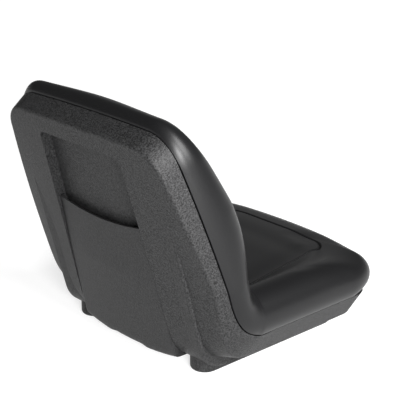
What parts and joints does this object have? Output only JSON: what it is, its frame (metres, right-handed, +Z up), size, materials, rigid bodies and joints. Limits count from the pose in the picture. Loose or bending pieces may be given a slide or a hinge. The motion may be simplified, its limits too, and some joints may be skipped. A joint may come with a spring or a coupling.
{
  "type": "bucket seat",
  "caption": "Bucket seat for a garden machine: grained plastic shell with two feet and a rear document pocket, carrying a one-piece moulded cushion.",
  "frame": {"origin": "middle of the four-bolt pattern, on the plane that the feet stand on", "axes": "+Z up, +Y towards the back of the seat, X across it; the sitter faces -Y"},
  "size_m": [0.4942, 0.5081, 0.4582],
  "materials": {
    "shell_plastic": "black, fine moulded grain",
    "panel_plastic": "black, nearly smooth",
    "vinyl": "black vinyl skin, satin",
    "insert_brass": "plain"
  },
  "bodies": {
    "root": {"seat_pan": "shell_plastic", "pocket_panel": "panel_plastic", "cushion": "vinyl", "mount_inserts": "insert_brass"}
  },
  "joints": []
}
